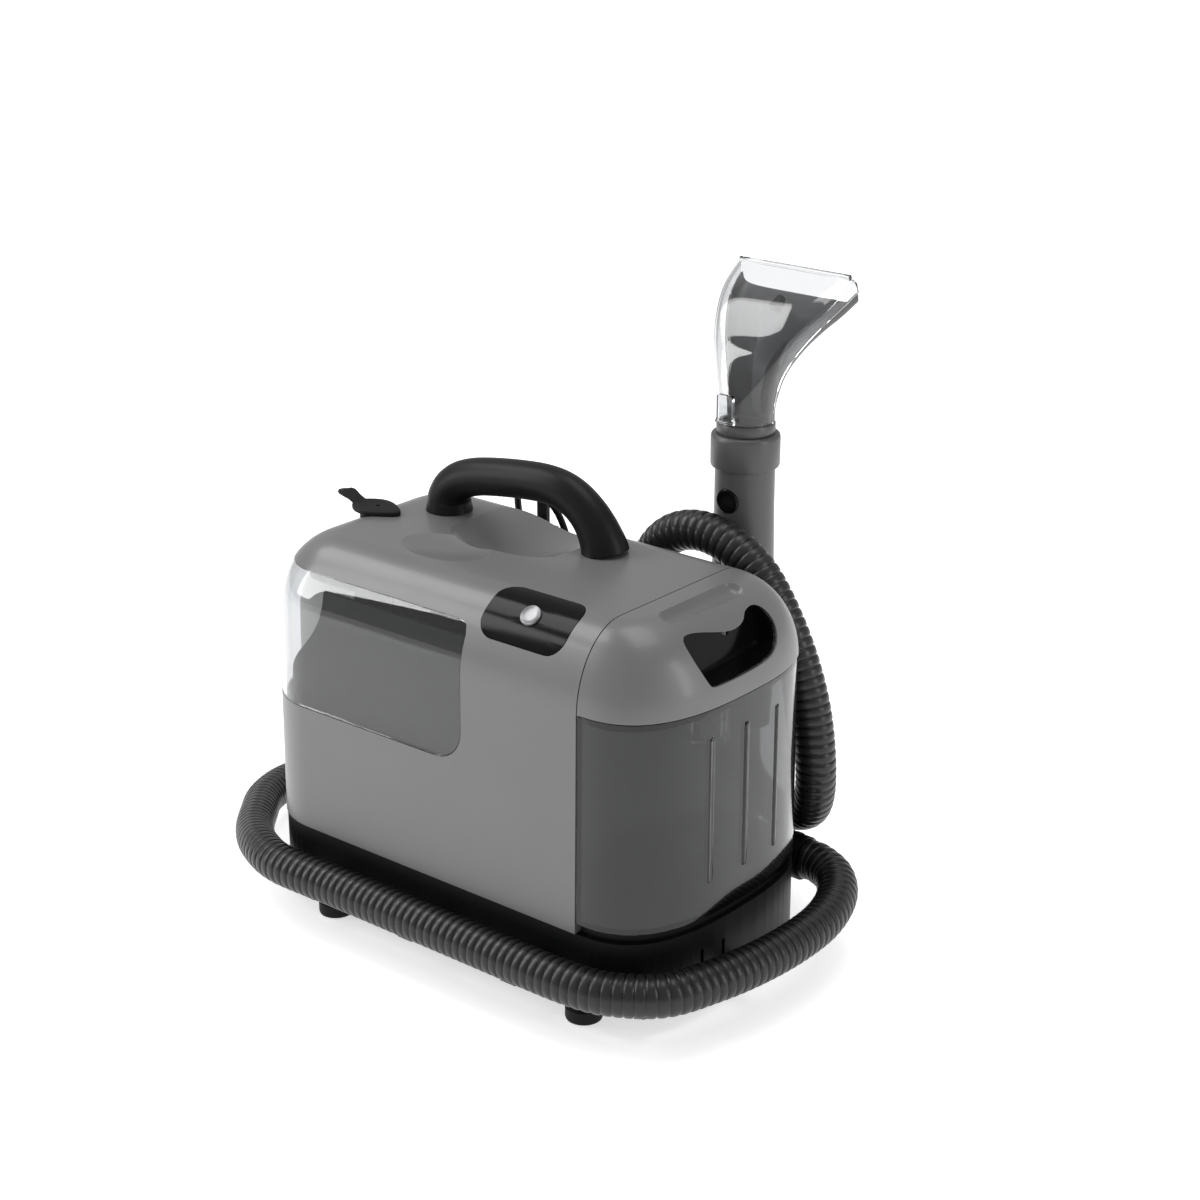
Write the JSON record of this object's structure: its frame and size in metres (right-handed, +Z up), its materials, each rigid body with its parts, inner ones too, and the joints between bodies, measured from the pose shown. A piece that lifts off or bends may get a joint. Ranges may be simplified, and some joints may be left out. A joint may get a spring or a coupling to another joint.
{
  "type": "carpet cleaner machine",
  "caption": "Portable carpet and upholstery cleaner: housing with carry handle, clear and smoked tanks, wrapped suction hose, and upright wand with an upholstery tool.",
  "frame": {"origin": "on the floor, under the middle of the whole machine's box with the wand and tool stored, cords left out", "axes": "+X along the machine towards the dirty-water tank, +Y to the back where the wand stands, +Z up"},
  "size_m": [0.536, 0.3681, 0.4744],
  "materials": {
    "housing_grey": "satin mid-grey moulded plastic",
    "black_plastic": "fine-grained black moulded plastic",
    "gloss_black": "polished black plastic",
    "clear_tank": "clear moulded plastic",
    "smoked_tank": "smoked clear moulded plastic",
    "tool_grey": "dark grey moulded plastic",
    "clear_tool": "clear moulded plastic",
    "rubber_black": "soft black rubber",
    "hose_black": "ribbed black hose",
    "lead_black": "black cable sheath",
    "silver_button": "satin silver",
    "steel": "plain steel",
    "motor_metal": "cast and pressed metal",
    "board_green": "circuit board",
    "white_plastic": "white moulded plastic"
  },
  "bodies": {
    "machine": {"base_pan": "black_plastic", "rubber_feet": "rubber_black", "foot_screws": "steel", "main_housing": "housing_grey", "housing_screws": "steel", "control_panel": "gloss_black", "button_spring": "steel", "power_switch": "black_plastic", "circuit_board": "board_green", "carry_handle": "black_plastic", "handle_screws": "steel", "clean_tank": "clear_tank", "filler_neck": "rubber_black", "inner_frame": "black_plastic", "tank_outlet": "white_plastic", "water_pump": "black_plastic", "water_tubes": "white_plastic", "vacuum_motor": "motor_metal", "motor_mounts": "black_plastic", "fan_shroud": "black_plastic", "suction_duct": "black_plastic", "intake_duct": "black_plastic", "dock_seals": "rubber_black", "exhaust_grille": "black_plastic", "hose_port": "black_plastic", "hose_cuff": "black_plastic", "suction_hose": "hose_black", "wand_cuff": "black_plastic", "wand": "tool_grey", "trigger_spring": "steel", "trigger_valve": "steel", "wand_holder": "black_plastic", "upper_hook": "black_plastic", "lower_hook": "black_plastic", "strain_relief": "rubber_black", "mains_lead": "lead_black", "lead_hank": "lead_black", "mains_plug": "lead_black", "plug_pins": "steel"},
    "power_button": {"power_button": "silver_button"},
    "filler_plug": {"filler_plug": "rubber_black"},
    "pump_plunger": {"pump_plunger": "steel"},
    "fan_impeller": {"fan_impeller": "motor_metal"},
    "dirty_tank": {"dirty_tank": "smoked_tank", "lid_gasket": "rubber_black", "inlet_spout": "black_plastic"},
    "tank_lid": {"tank_lid": "housing_grey", "lid_grip": "black_plastic", "float_cage": "clear_tank"},
    "shutoff_float": {"shutoff_float": "white_plastic"},
    "spray_trigger": {"spray_trigger": "gloss_black"},
    "lock_collar": {"lock_collar": "tool_grey"},
    "tool": {"tool_body": "tool_grey", "collar_seal": "rubber_black", "spray_nozzle": "black_plastic"},
    "tool_window": {"tool_window": "clear_tool"},
    "window_latch": {"window_latch": "clear_tool"}
  },
  "joints": [
    {"name": "power_press", "type": "slide", "parent": "machine", "child": "power_button", "axis": [0, 0.6018, -0.7986], "range_m": [0, 0.0025], "stiffness_N_per_m": 900, "deforming": ["button_spring"]},
    {"name": "plug_flap", "type": "hinge", "parent": "machine", "child": "filler_plug", "pos_m": [-0.14175, -0.056, 0.2959], "axis": [0, 1, 0], "range_deg": [0, 100]},
    {"name": "pump_stroke", "type": "slide", "parent": "machine", "child": "pump_plunger", "axis": [0, 0, 1], "range_m": [0, 0.006]},
    {"name": "fan_spin", "type": "hinge", "parent": "machine", "child": "fan_impeller", "pos_m": [0.06125, -0.04, 0.19], "axis": [0, 0, 1], "continuous": true},
    {"name": "tank_lift", "type": "slide", "parent": "machine", "child": "dirty_tank", "axis": [0, 0, 1], "range_m": [0, 0.16]},
    {"name": "lid_lift", "type": "slide", "parent": "dirty_tank", "child": "tank_lid", "axis": [0, 0, 1], "range_m": [0, 0.06]},
    {"name": "float_rise", "type": "slide", "parent": "tank_lid", "child": "shutoff_float", "axis": [0, 0, 1], "range_m": [0, 0.024]},
    {"name": "trigger_press", "type": "slide", "parent": "machine", "child": "spray_trigger", "axis": [0, 1, 0], "range_m": [0, 0.003], "stiffness_N_per_m": 900, "deforming": ["trigger_spring"]},
    {"name": "collar_twist", "type": "hinge", "parent": "machine", "child": "lock_collar", "pos_m": [0.05525, 0.11, 0.345], "axis": [0, 0, 1], "range_deg": [0, 35]},
    {"name": "tool_pull", "type": "slide", "parent": "machine", "child": "tool", "axis": [0, 0, 1], "range_m": [0, 0.05]},
    {"name": "window_lift", "type": "slide", "parent": "tool", "child": "tool_window", "axis": [0, -0.9326, 0.3608], "range_m": [0, 0.03]},
    {"name": "latch_flip", "type": "hinge", "parent": "tool_window", "child": "window_latch", "pos_m": [0.05525, 0.0841, 0.3732], "axis": [1, 0, 0], "range_deg": [0, 40]}
  ]
}
